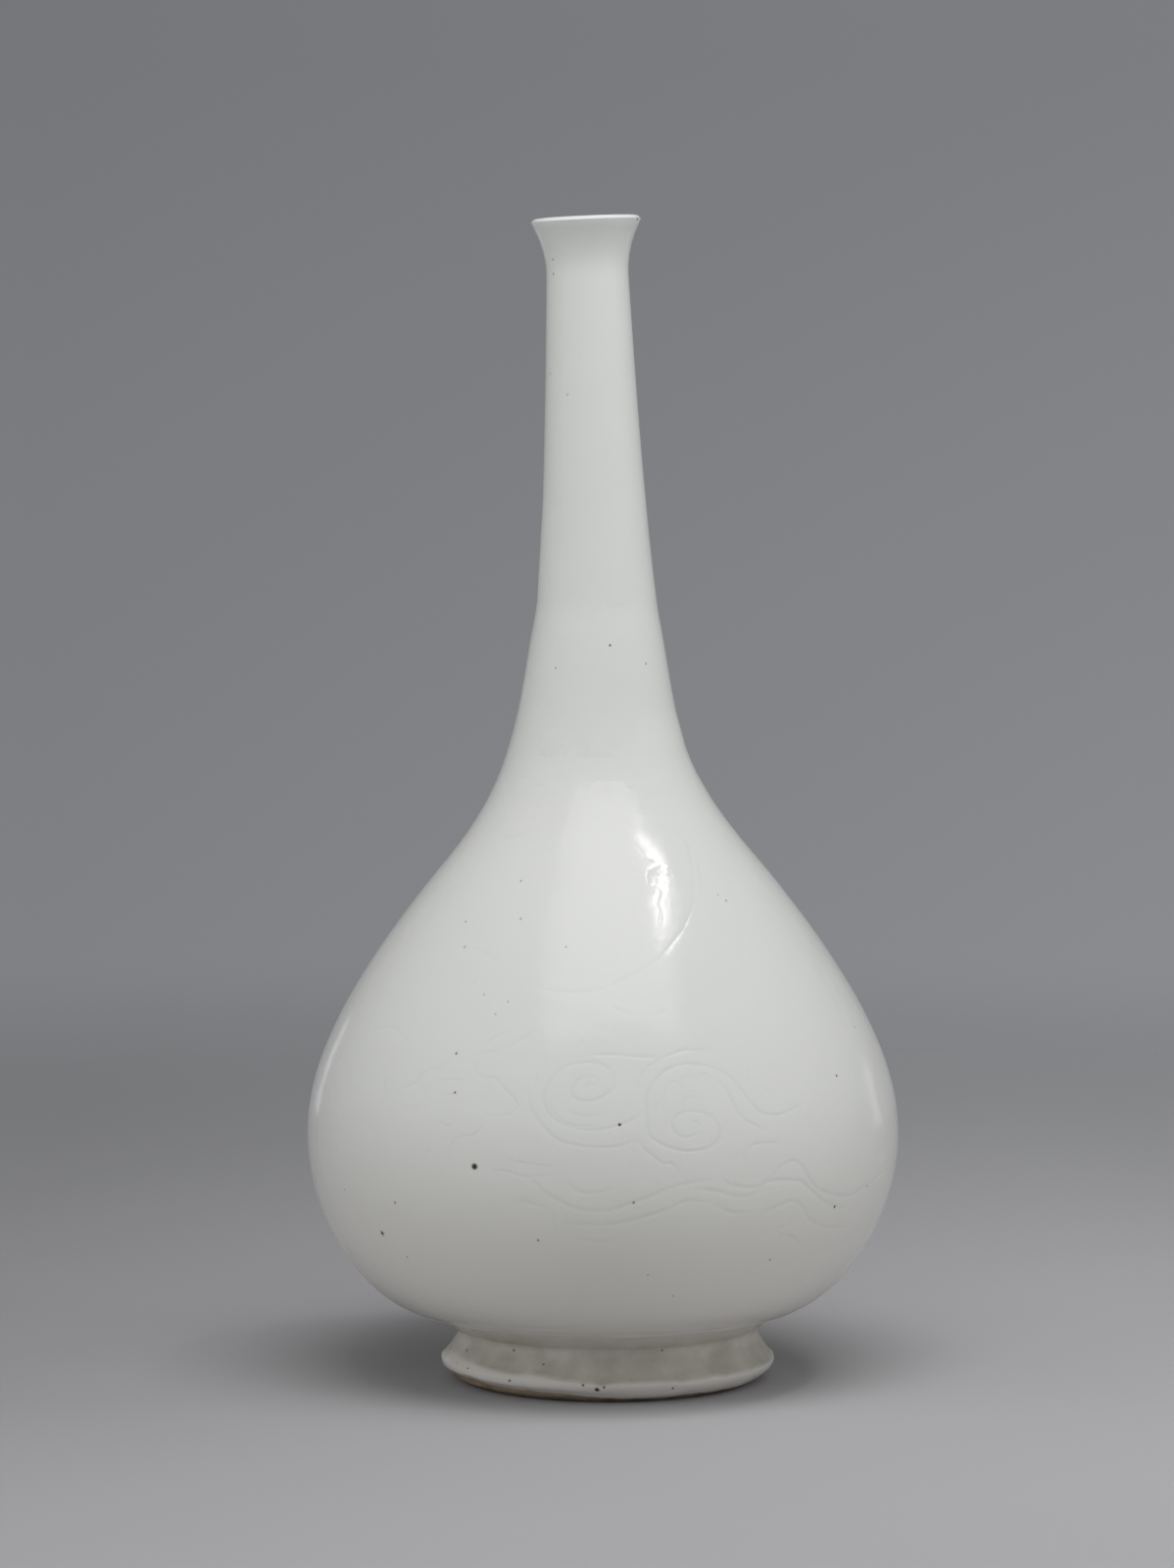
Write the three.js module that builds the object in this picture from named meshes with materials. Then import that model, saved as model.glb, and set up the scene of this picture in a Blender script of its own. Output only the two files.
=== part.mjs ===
import * as THREE from 'three';

// A tall pear-shaped bottle of white porcelain with a slender neck, a small flared mouth and a
// splayed foot ring. It is thrown in sections, which are luted together with thin rings of slip,
// and then glazed outside, inside and under the foot.
// Millimetres, +Z up. The origin is on the resting plane, under the middle of the belly.

// Heights of the stretches of the outline, stacked from the resting plane
const footWidestHeight = 7.4;
const footHeight = 17;
const undersideHeight = 9;
const bellyHeight = 61;
const shoulderHeight = 99;
const rootHeight = 85;
const neckHeight = 121;
const mouthHeight = 17.8;
const lipCrown = 1.3;

// Radii over the glaze
const restRadius = 52;
const footRadius = 59.4;
const waistRadius = 53.3;
const ridgeRadius = 69;
const girthRadius = 104.9;
const shoulderRadius = 54.2;
const rootRadius = 22;
const neckRadius = 14.5;
const lipRadius = 19.5;

// Slopes of the outline where two stretches meet, in degrees outwards from upright
const restSlope = 62;
const waistSlope = -5;
const undersideSlope = 20;
const ridgeSlope = 84;
const bellySlope = 72;
const shoulderSlope = -39.9;
const rootSlope = -10.8;

// How far each stretch keeps the slope of its lower and its upper end, as shares of its height
const footEdgeHold = [0.6, 0.4];
const footWallHold = [0.19, 0.47];
const undersideHold = [0.6, 1];
const bellyHold = [0.34, 0.42];
const shoulderHold = [0.17, 0.73];
const rootHold = [0.49, 0.44];
const neckHold = [0.17, 0.04];
const mouthHold = [0.55, 0.045];

// Thickness of the clay wall
const bellyBottomWall = 8;
const girthWall = 6;
const shoulderWall = 5.4;
const rootWall = 4.8;
const neckWall = 4.2;
const lipWall = 2.4;
const floorThickness = 9;

// Foot ring and the hollow under the bottle
const restFaceWidth = 8;
const waistWall = 8.1;
const floorSag = 4;
const floorFlatShare = 0.6;

// Glaze coats
const glazeThickness = 0.6;
const lipGlaze = 0.5;
const footRollGlaze = 1.4;
const footRollEdge = 0.9;
const footRollEdgeHeight = 1.2;
const footRollHeight = 5;
const bareFootHeight = 2;
const innerGlaze = 0.5;
const baseGlaze = 0.5;
const bareHollowHeight = 4;

// Thrown sections between the luted seams
const shoulderSectionHeight = 118;
const lowerNeckSectionHeight = 73;
const slipThickness = 1;

// How the centreline wanders: the foot is set to the right, the neck to the left and leaning
const footShift = 1.8;
const footShiftFade = 11;
const neckShift = -2.1;
const neckShiftFade = 26;
const neckLean = 1.7;
const neckLeanFade = 8;
const mouthTilt = 0.8;

// Facets
const sides = 36;
const curveSteps = 40;
const outerSteps = {
  footEdge: 3, footWall: 3, underside: 3, belly: 6, shoulder: 6, root: 6, neck: 3, mouth: 4,
};
const innerSteps = { belly: 4, shoulder: 4, root: 3, neck: 2, mouth: 2 };
const lipSteps = 5;
const floorSteps = 3;

// Levels of the outline
const ridgeLevel = footHeight + undersideHeight;
const girthLevel = ridgeLevel + bellyHeight;
const shoulderLevel = girthLevel + shoulderHeight;
const rootLevel = shoulderLevel + rootHeight;
const throatLevel = rootLevel + neckHeight;
const lipLevel = throatLevel + mouthHeight;

// Levels of the luted seams
const footSeam = footHeight;
const girthSeam = girthLevel;
const neckBaseSeam = girthSeam + shoulderSectionHeight;
const midNeckSeam = neckBaseSeam + lowerNeckSectionHeight;
const seams = [footSeam, girthSeam, neckBaseSeam, midNeckSeam];
const under = (seam) => seam - slipThickness / 2;
const over = (seam) => seam + slipThickness / 2;

// One stretch of the outline, in radius and height
function stretch(from, fromSlope, to, toSlope, hold) {
  const rise = to.y - from.y;
  const along = (slope, share) => {
    const angle = THREE.MathUtils.degToRad(slope);
    return new THREE.Vector2(Math.sin(angle), Math.cos(angle)).multiplyScalar(share * rise);
  };
  const leave = from.clone().add(along(fromSlope, hold[0]));
  const arrive = to.clone().sub(along(toSlope, hold[1]));
  return new THREE.CubicBezierCurve(from, leave, arrive, to);
}

const restEdge = new THREE.Vector2(restRadius, 0);
const footEdge = new THREE.Vector2(footRadius, footWidestHeight);
const waist = new THREE.Vector2(waistRadius, footHeight);
const ridge = new THREE.Vector2(ridgeRadius, ridgeLevel);
const girth = new THREE.Vector2(girthRadius, girthLevel);
const shoulder = new THREE.Vector2(shoulderRadius, shoulderLevel);
const root = new THREE.Vector2(rootRadius, rootLevel);
const throat = new THREE.Vector2(neckRadius, throatLevel);
const lip = new THREE.Vector2(lipRadius, lipLevel);

const outline = {
  footEdge: stretch(restEdge, restSlope, footEdge, 0, footEdgeHold),
  footWall: stretch(footEdge, 0, waist, waistSlope, footWallHold),
  underside: stretch(waist, undersideSlope, ridge, ridgeSlope, undersideHold),
  belly: stretch(ridge, bellySlope, girth, 0, bellyHold),
  shoulder: stretch(girth, 0, shoulder, shoulderSlope, shoulderHold),
  root: stretch(shoulder, shoulderSlope, root, rootSlope, rootHold),
  neck: stretch(root, rootSlope, throat, 0, neckHold),
  mouth: stretch(throat, 0, lip, 0, mouthHold),
};

// A value that runs in straight stages between [height, value] pairs
function staged(stages, height) {
  const next = stages.findIndex(([level]) => level > height);
  if (next === 0) return stages[0][1];
  if (next < 0) return stages[stages.length - 1][1];
  const [low, lowValue] = stages[next - 1];
  const [high, highValue] = stages[next];
  return THREE.MathUtils.mapLinear(height, low, high, lowValue, highValue);
}

const coat = (height) => staged([
  [bareFootHeight, 0],
  [bareFootHeight + footRollEdgeHeight, footRollEdge],
  [footWidestHeight, footRollGlaze],
  [footWidestHeight + footRollHeight, glazeThickness],
  [throatLevel, glazeThickness],
  [lipLevel, lipGlaze],
], height);

const wall = (height) => staged([
  [footHeight, bellyBottomWall],
  [girthLevel, girthWall],
  [shoulderLevel, shoulderWall],
  [rootLevel, rootWall],
  [throatLevel, neckWall],
  [lipLevel, lipWall],
], height);

// The outline moved square to itself into the wall, by a depth that depends on the height.
// Inside a ridge the moved stretches cross, and only the points that still rise are kept.
function sunk(names, depth) {
  const points = names.flatMap((name) => {
    const curve = outline[name];
    return Array.from({ length: curveSteps + 1 }, (_, step) => {
      const share = step / curveSteps;
      const point = curve.getPoint(share);
      const tangent = curve.getTangent(share);
      const inward = new THREE.Vector2(-tangent.y, tangent.x);
      return point.clone().addScaledVector(inward, depth(point.y));
    });
  });
  return points.filter((point, step) => points.slice(0, step).every((lower) => lower.y < point.y));
}

const bottleNames = Object.keys(outline);
const hollowNames = Object.keys(innerSteps);
const glazeFace = sunk(bottleNames, () => 0);
const clayFace = sunk(bottleNames, coat);
const innerClayFace = sunk(hollowNames, (height) => coat(height) + wall(height));
const innerGlazeFace = sunk(hollowNames, (height) => coat(height) + wall(height) + innerGlaze);

// The point of a face at a height, as [radius, height]
function at(face, height) {
  const next = face.findIndex((point) => point.y > height);
  if (next === 0) return [face[0].x, height];
  if (next < 0) return [face[face.length - 1].x, height];
  const low = face[next - 1];
  const high = face[next];
  return [THREE.MathUtils.mapLinear(height, low.y, high.y, low.x, high.x), height];
}

// Heights of the rings of points: steps along the stretches, and both faces of every seam
function ringHeights(steps) {
  const curved = Object.keys(steps).flatMap((name) => (
    Array.from({ length: steps[name] }, (_, step) => outline[name].getPoint((step + 1) / steps[name]).y)
  ));
  const joined = [...curved, ...seams.map(under), ...seams.map(over)];
  return [...new Set(joined)].sort((a, b) => a - b);
}

const outerHeights = ringHeights(outerSteps);
const innerHeights = ringHeights(innerSteps);

// The rings of a face from one height up to another, both included
function climb(face, heights, from, to) {
  const between = heights.filter((height) => height > from && height < to);
  return [from, ...between, to].map((height) => at(face, height));
}

const descend = (face, heights, from, to) => climb(face, heights, to, from).reverse();

// Half an ellipse over the lip, from its outer side to its inner side, without its ends
const [lipInnerRadius] = at(innerClayFace, lipLevel);

function overLip(coatThickness) {
  const middle = lipInnerRadius + lipWall / 2;
  const halfWidth = lipWall / 2 + coatThickness;
  const rise = lipCrown - lipGlaze + coatThickness;
  return Array.from({ length: lipSteps - 1 }, (_, step) => {
    const angle = Math.PI * (step + 1) / lipSteps;
    return [middle + halfWidth * Math.cos(angle), lipLevel + rise * Math.sin(angle)];
  });
}

// Centre of the bottle at a height, and how far the ring there is tilted
const faded = (height, level, fade) => THREE.MathUtils.smoothstep(height, level - fade, level + fade);

function centre(height) {
  const foot = footShift * (1 - THREE.MathUtils.smoothstep(height, footHeight, footHeight + footShiftFade));
  const neck = neckShift * faded(height, neckBaseSeam, neckShiftFade);
  const past = THREE.MathUtils.clamp(height - midNeckSeam + neckLeanFade, 0, 2 * neckLeanFade);
  const beyond = Math.max(0, height - midNeckSeam - neckLeanFade);
  const leant = past * past / (4 * neckLeanFade) + beyond;
  return foot + neck - leant * Math.tan(THREE.MathUtils.degToRad(neckLean));
}

function tilt(height) {
  const leaning = neckLean * faded(height, midNeckSeam, neckLeanFade);
  const flaring = mouthTilt * THREE.MathUtils.smoothstep(height, throatLevel, lipLevel);
  return THREE.MathUtils.degToRad(leaning + flaring);
}

// Turns a closed outline of [radius, height] about the centreline. It runs out along the bottom,
// up the outside and down the inside. Every facet is cut from its lower left to its upper right
// corner, so that two pieces that share a face have the same facets on it.
function turned(points) {
  const position = points.flatMap(([radius, height]) => {
    const lean = tilt(height);
    return Array.from({ length: sides }, (_, side) => {
      const angle = 2 * Math.PI * side / sides;
      const across = radius * Math.cos(angle);
      return [
        centre(height) + across * Math.cos(lean),
        radius * Math.sin(angle),
        height + across * Math.sin(lean),
      ];
    }).flat();
  });
  const index = [];
  points.forEach(([radius, height], ring) => {
    const nextRing = (ring + 1) % points.length;
    const [nextRadius, nextHeight] = points[nextRing];
    const rising = nextHeight >= height;
    for (let side = 0; side < sides; side += 1) {
      const nextSide = (side + 1) % sides;
      const a = ring * sides + side;
      const b = ring * sides + nextSide;
      const c = nextRing * sides + nextSide;
      const d = nextRing * sides + side;
      if (radius > 0) index.push(a, b, rising ? c : d);
      if (nextRadius > 0) index.push(rising ? a : b, c, d);
    }
  });
  const geometry = new THREE.BufferGeometry();
  geometry.setAttribute('position', new THREE.Float32BufferAttribute(position, 3));
  geometry.setIndex(index);
  geometry.computeVertexNormals();
  return geometry;
}

// Finishes
const clay = new THREE.MeshStandardMaterial({ color: 0xcfc8ba, roughness: 0.85, metalness: 0 });
const slip = new THREE.MeshStandardMaterial({ color: 0xd8d2c6, roughness: 0.8, metalness: 0 });
const glaze = new THREE.MeshStandardMaterial({ color: 0xdcdfd9, roughness: 0.18, metalness: 0 });

const bottle = new THREE.Group();

function piece(name, points, material) {
  const mesh = new THREE.Mesh(turned(points), material);
  mesh.name = name;
  bottle.add(mesh);
}

// Foot ring: a splayed ring with a flat resting face and a slightly tapered hollow
const hollowBottom = restRadius - restFaceWidth;
const hollowTop = waistRadius - waistWall;
piece('foot_ring', [
  [hollowBottom, 0],
  ...climb(clayFace, outerHeights, 0, under(footSeam)),
  [hollowTop, under(footSeam)],
], clay);

// Slip that lutes the foot ring to the body
piece('foot_slip_ring', [
  [hollowTop, under(footSeam)],
  ...climb(clayFace, outerHeights, under(footSeam), over(footSeam)),
  [hollowTop, over(footSeam)],
], slip);

// Lower side of the floor, sagging into the hollow of the foot
const floorBottom = Array.from({ length: floorSteps + 1 }, (_, step) => {
  const share = step / floorSteps;
  return [hollowTop * share, over(footSeam) - floorSag * (1 - share * share)];
});

// Upper side of the floor, flat in the middle and meeting the wall at its lowest ring
const floorLevel = over(footSeam) - floorSag + floorThickness;
const innerStart = innerClayFace[0];
const floorTop = [
  [0, floorLevel],
  [innerStart.x * floorFlatShare, floorLevel],
];

// Lower body: the bowl from the floor to the widest girth
piece('lower_body', [
  ...floorBottom,
  ...climb(clayFace, outerHeights, over(footSeam), under(girthSeam)),
  ...descend(innerClayFace, innerHeights, under(girthSeam), innerStart.y),
  ...floorTop.toReversed(),
], clay);

// Rings of slip and thrown sections from the girth to the mid-neck seam
function band(name, from, to, material) {
  piece(name, [
    ...climb(clayFace, outerHeights, from, to),
    ...descend(innerClayFace, innerHeights, to, from),
  ], material);
}

band('girth_slip_ring', under(girthSeam), over(girthSeam), slip);
band('shoulder_section', over(girthSeam), under(neckBaseSeam), clay);
band('neck_base_slip_ring', under(neckBaseSeam), over(neckBaseSeam), slip);
band('lower_neck', over(neckBaseSeam), under(midNeckSeam), clay);
band('mid_neck_slip_ring', under(midNeckSeam), over(midNeckSeam), slip);

// Upper neck with the flared mouth and the rounded lip
piece('upper_neck', [
  ...climb(clayFace, outerHeights, over(midNeckSeam), lipLevel),
  ...overLip(0),
  ...descend(innerClayFace, innerHeights, lipLevel, over(midNeckSeam)),
], clay);

// Glaze outside, from the thick roll on the foot up and over the lip
piece('outer_glaze', [
  ...climb(glazeFace, outerHeights, bareFootHeight, lipLevel),
  ...overLip(lipGlaze),
  [lipInnerRadius - lipGlaze, lipLevel],
  [lipInnerRadius, lipLevel],
  ...overLip(0).reverse(),
  ...descend(clayFace, outerHeights, lipLevel, bareFootHeight).slice(0, -1),
], glaze);

// Glaze poured inside, over the floor and up the whole wall
const innerGlazeStart = innerGlazeFace[0];
piece('inner_glaze', [
  ...floorTop,
  ...climb(innerClayFace, innerHeights, innerStart.y, lipLevel),
  ...descend(innerGlazeFace, innerHeights, lipLevel, innerGlazeStart.y),
  [floorTop[1][0], floorLevel + innerGlaze],
  [0, floorLevel + innerGlaze],
], glaze);

// Glaze in the hollow of the foot, under the floor and down the inside of the ring
const hollowWall = (height) => THREE.MathUtils.mapLinear(
  height, 0, under(footSeam), hollowBottom, hollowTop,
);
piece('foot_hollow_glaze', [
  ...floorBottom.slice(0, -1).map(([radius, height]) => [radius, height - baseGlaze]),
  [hollowTop - baseGlaze, over(footSeam) - baseGlaze],
  [hollowTop - baseGlaze, under(footSeam)],
  [hollowWall(bareHollowHeight) - baseGlaze, bareHollowHeight],
  [hollowWall(bareHollowHeight), bareHollowHeight],
  [hollowTop, under(footSeam)],
  ...floorBottom.toReversed(),
], glaze);

export default bottle;
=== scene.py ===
import math

import bmesh
import bpy
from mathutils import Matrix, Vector, kdtree, noise

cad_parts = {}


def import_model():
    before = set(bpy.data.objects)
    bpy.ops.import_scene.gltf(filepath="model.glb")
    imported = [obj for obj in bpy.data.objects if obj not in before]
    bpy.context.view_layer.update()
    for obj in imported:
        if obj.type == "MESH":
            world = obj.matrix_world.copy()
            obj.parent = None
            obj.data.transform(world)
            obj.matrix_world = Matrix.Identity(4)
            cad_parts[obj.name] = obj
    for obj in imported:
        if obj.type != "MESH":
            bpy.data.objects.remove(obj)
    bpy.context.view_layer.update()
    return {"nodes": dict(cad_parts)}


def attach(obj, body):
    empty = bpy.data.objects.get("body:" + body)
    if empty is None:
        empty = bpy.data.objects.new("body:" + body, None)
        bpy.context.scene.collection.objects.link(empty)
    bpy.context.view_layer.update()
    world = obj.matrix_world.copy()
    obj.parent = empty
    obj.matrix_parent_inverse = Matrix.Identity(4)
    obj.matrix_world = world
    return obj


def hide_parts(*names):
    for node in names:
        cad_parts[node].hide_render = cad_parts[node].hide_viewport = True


# Sizes are in millimetres, and MM turns them into Blender's metres
MM = 0.001

# Heights of the stretches of the outline, stacked from the resting plane
FOOT_WIDEST_HEIGHT = 7.4
FOOT_HEIGHT = 17
UNDERSIDE_HEIGHT = 9
BELLY_HEIGHT = 61
SHOULDER_HEIGHT = 99
ROOT_HEIGHT = 85
NECK_HEIGHT = 121
MOUTH_HEIGHT = 17.8
LIP_CROWN = 1.24

RIDGE_LEVEL = FOOT_HEIGHT + UNDERSIDE_HEIGHT
GIRTH_LEVEL = RIDGE_LEVEL + BELLY_HEIGHT
SHOULDER_LEVEL = GIRTH_LEVEL + SHOULDER_HEIGHT
ROOT_LEVEL = SHOULDER_LEVEL + ROOT_HEIGHT
THROAT_LEVEL = ROOT_LEVEL + NECK_HEIGHT
LIP_LEVEL = THROAT_LEVEL + MOUTH_HEIGHT

# Points of the outline over the glaze, as radius and height
REST_EDGE = (52, 0)
FOOT_EDGE = (59.4, FOOT_WIDEST_HEIGHT)
WAIST = (53.3, FOOT_HEIGHT)
RIDGE = (69, RIDGE_LEVEL)
GIRTH = (104.9, GIRTH_LEVEL)
SHOULDER = (54.2, SHOULDER_LEVEL)
ROOT = (22, ROOT_LEVEL)
THROAT = (14.5, THROAT_LEVEL)
LIP = (19.5, LIP_LEVEL)

# Stretches of the outline: lower point and slope, upper point and slope, how far each end keeps
# its slope, and the rows of faces along it. Slopes are in degrees outwards from upright.
FOOT_STRETCHES = [
    (REST_EDGE, 62, FOOT_EDGE, 0, (0.6, 0.4), 10),
    (FOOT_EDGE, 0, WAIST, -5, (0.19, 0.47), 12),
]
BODY_STRETCHES = [
    (WAIST, 20, RIDGE, 84, (0.6, 1), 10),
    (RIDGE, 72, GIRTH, 0, (0.34, 0.42), 18),
    (GIRTH, 0, SHOULDER, -39.9, (0.17, 0.73), 28),
    (SHOULDER, -39.9, ROOT, -10.8, (0.49, 0.44), 22),
    (ROOT, -10.8, THROAT, 0, (0.17, 0.04), 24),
    (THROAT, 0, LIP, 0, (0.55, 0.045), 14),
]
HOLLOW_STRETCHES = BODY_STRETCHES[1:]

# Walls of clay and coats of glaze, as height and thickness
WALLS = [(FOOT_HEIGHT, 8), (GIRTH_LEVEL, 6), (SHOULDER_LEVEL, 5.4), (ROOT_LEVEL, 4.8),
         (THROAT_LEVEL, 4.2), (LIP_LEVEL, 2.4)]
BARE_FOOT = 2
COATS = [(BARE_FOOT, 0), (3.2, 0.9), (FOOT_WIDEST_HEIGHT, 1.4), (12.4, 0.6),
         (THROAT_LEVEL, 0.6), (LIP_LEVEL, 0.5)]
LIP_GLAZE = 0.5
LIP_WALL = 2.4
INNER_GLAZE = 0.5
BASE_GLAZE = 0.5

# Foot ring, its hollow and the floor
HOLLOW_BOTTOM = 44
HOLLOW_TOP = 45.2
FOOT_RING_TOP = 16.5
FLOOR_EDGE = 17.5
FLOOR_SAG = 4
FLOOR_THICKNESS = 9
FLOOR_FLAT_SHARE = 0.6
BARE_HOLLOW_HEIGHT = 4
REST_ROUNDING = 0.5

# How the centreline wanders
FOOT_SHIFT = 1.8
FOOT_SHIFT_FADE = 11
NECK_SHIFT = -2.1
NECK_BASE = 205
NECK_SHIFT_FADE = 26
MID_NECK = 278
NECK_LEAN = 1.7
NECK_LEAN_FADE = 8
MOUTH_TILT = 0.8

# Mesh of the turned pieces: faces round the outer and the hidden ones, points along a stretch, the
# least rise between points and between rows, the share over which a direction is read, the gap that
# is welded, the thinnest face that is kept, and the angle in degrees that is shaded smooth
TURN_STEPS = 144
HIDDEN_TURN_STEPS = 96
CURVE_STEPS = 60
SLIVER = 0.02
ROW_GAP = 0.3
NUDGE = 0.001
WELDED_GAP = 0.002
THINNEST_FACE = 0.001
SMOOTH_ANGLE = 40


# Outline of the bottle

def stretch_point(stretch, share):
    """A place on a stretch of the outline, which leaves and arrives along its two slopes"""
    low, low_slope, high, high_slope, holds, _ = stretch
    rise = high[1] - low[1]
    leave = math.radians(low_slope)
    arrive = math.radians(high_slope)
    first = Vector(low)
    second = first + Vector((math.sin(leave), math.cos(leave))) * holds[0] * rise
    fourth = Vector(high)
    third = fourth - Vector((math.sin(arrive), math.cos(arrive))) * holds[1] * rise
    rest = 1 - share
    return (first * rest ** 3 + second * 3 * rest ** 2 * share
            + third * 3 * rest * share ** 2 + fourth * share ** 3)


def staged(stages, height):
    """A value that runs in straight stages between pairs of height and value"""
    if height <= stages[0][0]:
        return stages[0][1]
    for (low, low_value), (high, high_value) in zip(stages, stages[1:]):
        if height <= high:
            return low_value + (high_value - low_value) * (height - low) / (high - low)
    return stages[-1][1]


def sunk(stretches, depth, rows=None):
    """The outline moved square to itself into the wall; only points that still rise are kept"""
    points = []
    for stretch in stretches:
        steps = rows or stretch[5]
        for step in range(steps + 1):
            share = step / steps
            point = stretch_point(stretch, share)
            ahead = stretch_point(stretch, min(1, share + NUDGE))
            behind = stretch_point(stretch, max(0, share - NUDGE))
            along = (ahead - behind).normalized()
            moved = point + Vector((-along.y, along.x)) * depth(point.y)
            if not points or moved.y > points[-1].y + SLIVER:
                points.append(moved)
    return points


def thick_coat(height):
    return staged(COATS, height)


def wall_and_coat(height):
    return staged(WALLS, height) + thick_coat(height)


ALL_STRETCHES = FOOT_STRETCHES + BODY_STRETCHES
GLAZE_FACE = sunk(ALL_STRETCHES, lambda height: 0, CURVE_STEPS)
CLAY_FACE = sunk(ALL_STRETCHES, thick_coat, CURVE_STEPS)
INNER_CLAY_FACE = sunk(HOLLOW_STRETCHES, wall_and_coat, CURVE_STEPS)
INNER_GLAZE_FACE = sunk(
    HOLLOW_STRETCHES, lambda height: wall_and_coat(height) + INNER_GLAZE, CURVE_STEPS)


def radius_at(face, height):
    """The radius of a face at a height"""
    low = 0
    high = len(face) - 1
    if height <= face[0].y:
        return face[0].x
    if height >= face[high].y:
        return face[high].x
    while high - low > 1:
        middle = (low + high) // 2
        if face[middle].y > height:
            high = middle
        else:
            low = middle
    span = face[high].y - face[low].y
    return face[low].x + (face[high].x - face[low].x) * (height - face[low].y) / span


def smooth_share(value, low, high):
    """Nought at low and one at high, with a soft start and end"""
    share = min(1, max(0, (value - low) / (high - low)))
    return share * share * (3 - 2 * share)


def centre(height):
    """How far the centreline lies to the right at a height"""
    foot = FOOT_SHIFT * (1 - smooth_share(height, FOOT_HEIGHT, FOOT_HEIGHT + FOOT_SHIFT_FADE))
    neck = NECK_SHIFT * smooth_share(height, NECK_BASE - NECK_SHIFT_FADE, NECK_BASE + NECK_SHIFT_FADE)
    past = min(2 * NECK_LEAN_FADE, max(0, height - MID_NECK + NECK_LEAN_FADE))
    beyond = max(0, height - MID_NECK - NECK_LEAN_FADE)
    leant = past * past / (4 * NECK_LEAN_FADE) + beyond
    return foot + neck - leant * math.tan(math.radians(NECK_LEAN))


def tilt(height):
    """How far the ring at a height is tilted, its right side up"""
    leaning = NECK_LEAN * smooth_share(height, MID_NECK - NECK_LEAN_FADE, MID_NECK + NECK_LEAN_FADE)
    flaring = MOUTH_TILT * smooth_share(height, THROAT_LEVEL, LIP_LEVEL)
    return math.radians(leaning + flaring)


# Turned pieces

def tidy_shell():
    """Closes the seams of the shell in edit mode and points its faces outwards"""
    bpy.ops.mesh.select_all(action="SELECT")
    bpy.ops.mesh.remove_doubles(threshold=WELDED_GAP * MM)
    bpy.ops.mesh.dissolve_degenerate(threshold=THINNEST_FACE * MM)
    bpy.ops.mesh.delete_loose()
    bpy.ops.mesh.select_all(action="SELECT")
    bpy.ops.mesh.normals_make_consistent(inside=False)


def turned(name, loop, steps=TURN_STEPS):
    """Spins a closed outline about the centreline, which is still upright"""
    bpy.ops.object.select_all(action="DESELECT")
    bpy.ops.mesh.primitive_circle_add(vertices=len(loop), radius=GIRTH[0] * MM, fill_type="NOTHING")
    piece = bpy.context.object
    piece.name = name
    piece.data.name = name
    for vertex, (radius, height) in zip(piece.data.vertices, loop):
        vertex.co = (radius * MM, 0, height * MM)
    bpy.ops.object.mode_set(mode="EDIT")
    bpy.ops.mesh.select_all(action="SELECT")
    bpy.ops.mesh.spin(steps=steps, angle=math.tau, center=(0, 0, 0), axis=(0, 0, 1))
    tidy_shell()
    bpy.ops.object.mode_set(mode="OBJECT")
    return piece


def settle(piece):
    """Leans a finished piece as the bottle leans and shades it smooth"""
    for vertex in piece.data.vertices:
        across, deep, height = vertex.co / MM
        lean = tilt(height)
        vertex.co = Vector((
            centre(height) + across * math.cos(lean), deep, height + across * math.sin(lean),
        )) * MM
    bpy.ops.object.select_all(action="DESELECT")
    piece.select_set(True)
    bpy.context.view_layer.objects.active = piece
    bpy.ops.object.shade_smooth_by_angle(angle=math.radians(SMOOTH_ANGLE))


LIP_INNER_RADIUS = radius_at(INNER_CLAY_FACE, LIP_LEVEL)
LIP_STEPS = 12


def over_lip(coat):
    """Half an ellipse over the lip from its outer to its inner side, without its ends"""
    middle = LIP_INNER_RADIUS + LIP_WALL / 2
    half_width = LIP_WALL / 2 + coat
    rise = LIP_CROWN - LIP_GLAZE + coat
    return [
        (middle + half_width * math.cos(math.pi * step / LIP_STEPS),
         LIP_LEVEL + rise * math.sin(math.pi * step / LIP_STEPS))
        for step in range(1, LIP_STEPS)
    ]


def rows_up(face, heights):
    """Points of a face at the given heights"""
    return [(radius_at(face, height), height) for height in heights]


def outline_heights(stretches, low, high):
    """Heights of the rows of faces between two levels, both included"""
    heights = [point.y for point in sunk(stretches, lambda height: 0)]
    return [low] + [height for height in heights if low + ROW_GAP < height < high - ROW_GAP] + [high]


FLOOR_LEVEL = FLOOR_EDGE - FLOOR_SAG + FLOOR_THICKNESS
FLOOR_ROWS = 8


def floor_bottom(lowered):
    """Lower side of the floor from the middle to the foot ring, sagging into the hollow"""
    return [
        ((HOLLOW_TOP - lowered) * step / FLOOR_ROWS,
         FLOOR_EDGE - lowered - FLOOR_SAG * (1 - (step / FLOOR_ROWS) ** 2))
        for step in range(FLOOR_ROWS + 1)
    ]


# Camera, where the photograph was taken from

CAMERA_PLACE = Vector((-5.6, -1920, 349))
CAMERA_PITCH = 4.1
FOCAL_LENGTH = 124.9
SENSOR_WIDTH = 36


def stand_camera():
    data = bpy.data.cameras.new("camera")
    data.lens = FOCAL_LENGTH
    data.sensor_width = SENSOR_WIDTH
    camera = bpy.data.objects.new("camera", data)
    camera.location = CAMERA_PLACE * MM
    camera.rotation_euler = (math.radians(90 - CAMERA_PITCH), 0, 0)
    bpy.context.scene.collection.objects.link(camera)
    bpy.context.scene.camera = camera


# Incised ornament. Each line is a few points as seen from the front, in millimetres right of the
# middle and up from the floor, on the upright plane through the centreline.

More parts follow.
